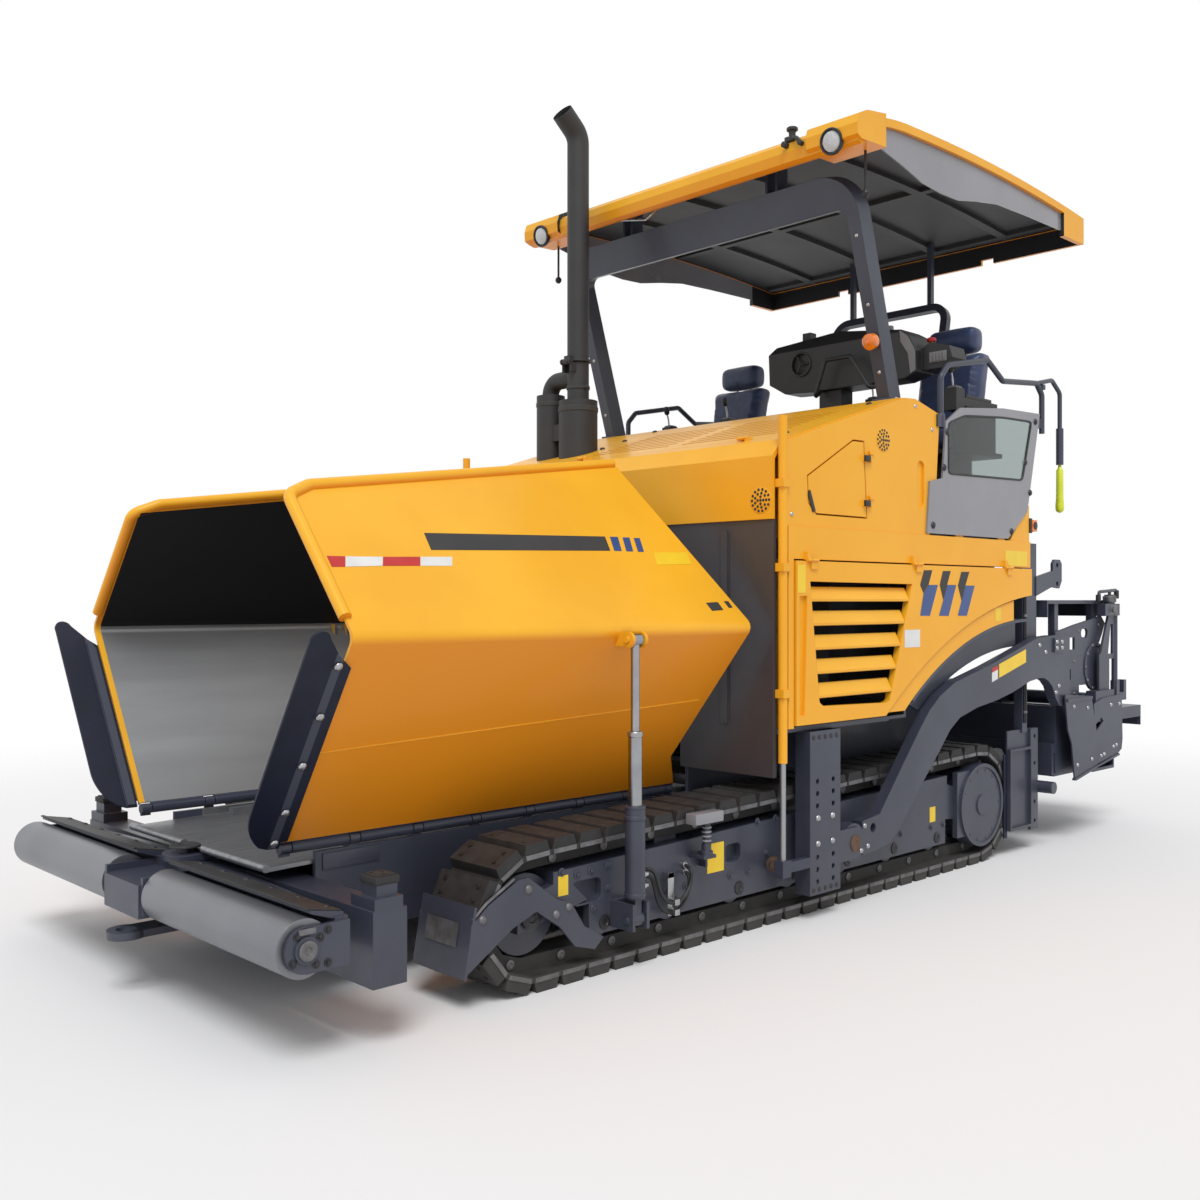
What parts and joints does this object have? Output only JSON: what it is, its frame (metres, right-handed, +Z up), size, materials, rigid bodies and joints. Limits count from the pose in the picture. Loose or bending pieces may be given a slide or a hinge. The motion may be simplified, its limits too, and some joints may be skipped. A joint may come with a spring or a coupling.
{
  "type": "asphalt paver",
  "caption": "Tracked road paver with a folding hopper, push rollers, twin conveyor, augers, a canopy over the seats and an extending screed.",
  "frame": {"origin": "centre of the bounding box on the ground", "axes": "+X the way it drives, +Y its left side, +Z up"},
  "size_m": [6.81, 2.57, 4.5404],
  "materials": {
    "yellow": "gloss",
    "slate": "satin",
    "charcoal": "matt",
    "rubber": "matt",
    "steel": "satin",
    "chrome": "polished",
    "smoked": "matt",
    "glass": "clear",
    "navy": "satin",
    "plastic": "matt",
    "iron": "rough"
  },
  "bodies": {
    "tractor": {"bulkhead": "charcoal", "canopy_arches": "slate", "canopy_roof": "yellow", "console_slide": "steel", "conveyor": "steel", "crawlers": "rubber", "deck_frame": "slate", "engine_block": "iron", "fenders": "slate", "front_beam": "slate", "handrails": "yellow", "hood": "yellow", "hopper_floor": "steel", "levelling_rams": "yellow", "main_frame": "slate", "platform": "slate", "rear_frame": "slate", "roof_liner": "charcoal", "screen_glass": "glass", "seat_bases": "plastic", "seat_left": "navy", "seat_right": "navy", "side_bodies": "yellow", "side_screens": "smoked", "side_visors": "smoked", "silencer": "charcoal", "tow_columns": "slate", "track_frames": "slate"},
    "hood_lid": {"hood_lid": "yellow"},
    "console": {"console": "plastic"},
    "exhaust_pipe": {"exhaust_pipe": "charcoal"},
    "push_beam": {"push_beam": "slate"},
    "push_roller_left": {"push_roller_left": "steel"},
    "push_roller_right": {"push_roller_right": "steel"},
    "screed": {"tow_arm_left": "slate", "tow_arm_right": "slate", "screed_frame": "slate"},
    "extension_left": {"screed_extension_left": "slate"},
    "extension_right": {"screed_extension_right": "slate"},
    "auger_left": {"auger_left": "steel"},
    "auger_right": {"auger_right": "steel"},
    "wing_left": {"wing_left": "yellow", "apron_left": "rubber"},
    "wing_barrel_left": {"wing_barrel_left": "slate"},
    "wing_stage_left": {"wing_stage_left": "chrome"},
    "wing_rod_left": {"wing_rod_left": "chrome"},
    "hoist_barrel_left": {"hoist_barrel_left": "slate"},
    "hoist_rod_left": {"hoist_rod_left": "chrome"},
    "louvre_door_left": {"louvre_door_left": "yellow"},
    "service_door_left": {"service_door_left": "yellow"},
    "wing_right": {"wing_right": "yellow", "apron_right": "rubber"},
    "wing_barrel_right": {"wing_barrel_right": "slate"},
    "wing_stage_right": {"wing_stage_right": "chrome"},
    "wing_rod_right": {"wing_rod_right": "chrome"},
    "hoist_barrel_right": {"hoist_barrel_right": "slate"},
    "hoist_rod_right": {"hoist_rod_right": "chrome"},
    "louvre_door_right": {"louvre_door_right": "yellow"},
    "service_door_right": {"service_door_right": "yellow"}
  },
  "joints": [
    {"name": "push_beam_swivel", "type": "hinge", "parent": "tractor", "child": "push_beam", "pos_m": [3.085, 0, 0.42], "axis": [0, 0, 1], "range_deg": [-4, 4]},
    {"name": "push_roller_left_spin", "type": "hinge", "parent": "push_beam", "child": "push_roller_left", "pos_m": [3.25, 0.7, 0.415], "axis": [0, 1, 0], "continuous": true},
    {"name": "push_roller_right_spin", "type": "hinge", "parent": "push_beam", "child": "push_roller_right", "pos_m": [3.25, -0.7, 0.415], "axis": [0, 1, 0], "continuous": true},
    {"name": "wing_left_open", "type": "hinge", "parent": "tractor", "child": "wing_left", "pos_m": [1.9, 0.62, 0.62], "axis": [-1, 0, 0], "range_deg": [0, 38]},
    {"name": "wing_barrel_left_tilt", "type": "hinge", "parent": "tractor", "child": "wing_barrel_left", "pos_m": [1.66, 1.192, 0.222], "axis": [-1, 0, 0], "range_deg": [0, 28.5]},
    {"name": "wing_stage_left_slide", "type": "slide", "parent": "wing_barrel_left", "child": "wing_stage_left", "axis": [0, 0, -1], "range_m": [0, 0.21312]},
    {"name": "wing_rod_left_slide", "type": "slide", "parent": "wing_stage_left", "child": "wing_rod_left", "axis": [0, 0, -1], "range_m": [0, 0.21312]},
    {"name": "louvre_door_left_open", "type": "hinge", "parent": "tractor", "child": "louvre_door_left", "pos_m": [-0.5, 1.254, 1.758], "axis": [1, 0, 0], "range_deg": [0, 95]},
    {"name": "service_door_left_open", "type": "hinge", "parent": "tractor", "child": "service_door_left", "pos_m": [-0.022, 1.236, 2.2], "axis": [0, 0, 1], "range_deg": [0, 110]},
    {"name": "wing_right_open", "type": "hinge", "parent": "tractor", "child": "wing_right", "pos_m": [1.9, -0.62, 0.62], "axis": [1, 0, 0], "range_deg": [0, 38]},
    {"name": "wing_barrel_right_tilt", "type": "hinge", "parent": "tractor", "child": "wing_barrel_right", "pos_m": [1.66, -1.192, 0.222], "axis": [1, 0, 0], "range_deg": [0, 28.5]},
    {"name": "wing_stage_right_slide", "type": "slide", "parent": "wing_barrel_right", "child": "wing_stage_right", "axis": [0, 0, -1], "range_m": [0, 0.21312]},
    {"name": "wing_rod_right_slide", "type": "slide", "parent": "wing_stage_right", "child": "wing_rod_right", "axis": [0, 0, -1], "range_m": [0, 0.21312]},
    {"name": "louvre_door_right_open", "type": "hinge", "parent": "tractor", "child": "louvre_door_right", "pos_m": [-0.5, -1.254, 1.758], "axis": [-1, 0, 0], "range_deg": [0, 95]},
    {"name": "service_door_right_open", "type": "hinge", "parent": "tractor", "child": "service_door_right", "pos_m": [-0.022, -1.236, 2.2], "axis": [0, 0, -1], "range_deg": [0, 110]},
    {"name": "hood_lid_open", "type": "hinge", "parent": "tractor", "child": "hood_lid", "pos_m": [0.58536, 0.3, 2.37279], "axis": [0, 1, 0], "range_deg": [0, 60]},
    {"name": "exhaust_fold", "type": "hinge", "parent": "tractor", "child": "exhaust_pipe", "pos_m": [0.386, -0.64, 3], "axis": [0, 1, 0], "range_deg": [0, 90]},
    {"name": "console_slide", "type": "slide", "parent": "tractor", "child": "console", "axis": [0, -1, 0], "range_m": [0, 0.7]},
    {"name": "screed_lower", "type": "hinge", "parent": "tractor", "child": "screed", "pos_m": [0.12, 0, 0.335], "axis": [0, -1, 0], "range_deg": [0, 8]},
    {"name": "hoist_barrel_left_tilt", "type": "hinge", "parent": "tractor", "child": "hoist_barrel_left", "pos_m": [-1.912, 1.05, 1.85], "axis": [0, 1, 0], "range_deg": [0, 4.59]},
    {"name": "hoist_rod_left_slide", "type": "slide", "parent": "hoist_barrel_left", "child": "hoist_rod_left", "axis": [-0.064, 0, -0.9979], "range_m": [0, 0.3058]},
    {"name": "extension_left_slide", "type": "slide", "parent": "screed", "child": "extension_left", "axis": [0, 1, 0], "range_m": [0, 1.15]},
    {"name": "auger_left_spin", "type": "hinge", "parent": "tractor", "child": "auger_left", "pos_m": [-1.915, 0.6, 0.43], "axis": [0, 1, 0], "continuous": true},
    {"name": "hoist_barrel_right_tilt", "type": "hinge", "parent": "tractor", "child": "hoist_barrel_right", "pos_m": [-1.912, -1.05, 1.85], "axis": [0, 1, 0], "range_deg": [0, 4.59]},
    {"name": "hoist_rod_right_slide", "type": "slide", "parent": "hoist_barrel_right", "child": "hoist_rod_right", "axis": [-0.064, 0, -0.9979], "range_m": [0, 0.3058]},
    {"name": "extension_right_slide", "type": "slide", "parent": "screed", "child": "extension_right", "axis": [0, -1, 0], "range_m": [0, 1.15]},
    {"name": "auger_right_spin", "type": "hinge", "parent": "tractor", "child": "auger_right", "pos_m": [-1.915, -0.6, 0.43], "axis": [0, 1, 0], "continuous": true}
  ],
  "couplings": [
    {"joint": "wing_barrel_left_tilt", "follows": "wing_left_open", "ratio": 0.72744},
    {"joint": "wing_stage_left_slide", "follows": "wing_left_open", "m_per_rad": 0.31813},
    {"joint": "wing_rod_left_slide", "follows": "wing_left_open", "m_per_rad": 0.31813},
    {"joint": "hoist_barrel_left_tilt", "follows": "screed_lower", "ratio": 0.57367},
    {"joint": "hoist_rod_left_slide", "follows": "screed_lower", "m_per_rad": 2.1899},
    {"joint": "wing_barrel_right_tilt", "follows": "wing_right_open", "ratio": 0.72744},
    {"joint": "wing_stage_right_slide", "follows": "wing_right_open", "m_per_rad": 0.31813},
    {"joint": "wing_rod_right_slide", "follows": "wing_right_open", "m_per_rad": 0.31813},
    {"joint": "hoist_barrel_right_tilt", "follows": "screed_lower", "ratio": 0.57367},
    {"joint": "hoist_rod_right_slide", "follows": "screed_lower", "m_per_rad": 2.1899}
  ]
}
